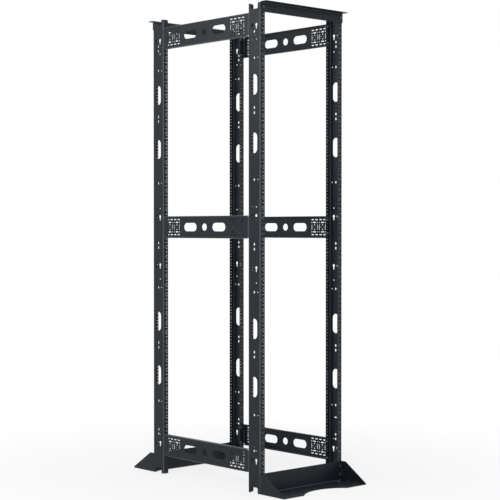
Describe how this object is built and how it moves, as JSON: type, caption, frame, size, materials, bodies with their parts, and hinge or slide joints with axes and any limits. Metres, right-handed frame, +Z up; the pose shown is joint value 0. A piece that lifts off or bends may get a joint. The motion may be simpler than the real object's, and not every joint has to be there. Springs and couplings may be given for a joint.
{
  "type": "four post open frame rack",
  "caption": "Open frame of four channel posts on two folded feet, with top angles and side brackets, for 19 inch equipment.",
  "frame": {"origin": "on the floor below the middle of the rack", "axes": "+X across the equipment width, -Y is the front, +Z up"},
  "size_m": [0.508, 1.0542, 2.1366],
  "materials": {
    "black_powder_coat": "satin"
  },
  "bodies": {
    "root": {"post_front_left": "black_powder_coat", "post_front_right": "black_powder_coat", "top_angle_front": "black_powder_coat", "base_front": "black_powder_coat", "post_rear_left": "black_powder_coat", "post_rear_right": "black_powder_coat", "top_angle_rear": "black_powder_coat", "base_rear": "black_powder_coat", "side_bracket_left_bottom": "black_powder_coat", "side_bracket_left_middle": "black_powder_coat", "side_bracket_left_top": "black_powder_coat", "side_bracket_right_bottom": "black_powder_coat", "side_bracket_right_middle": "black_powder_coat", "side_bracket_right_top": "black_powder_coat"}
  },
  "joints": []
}
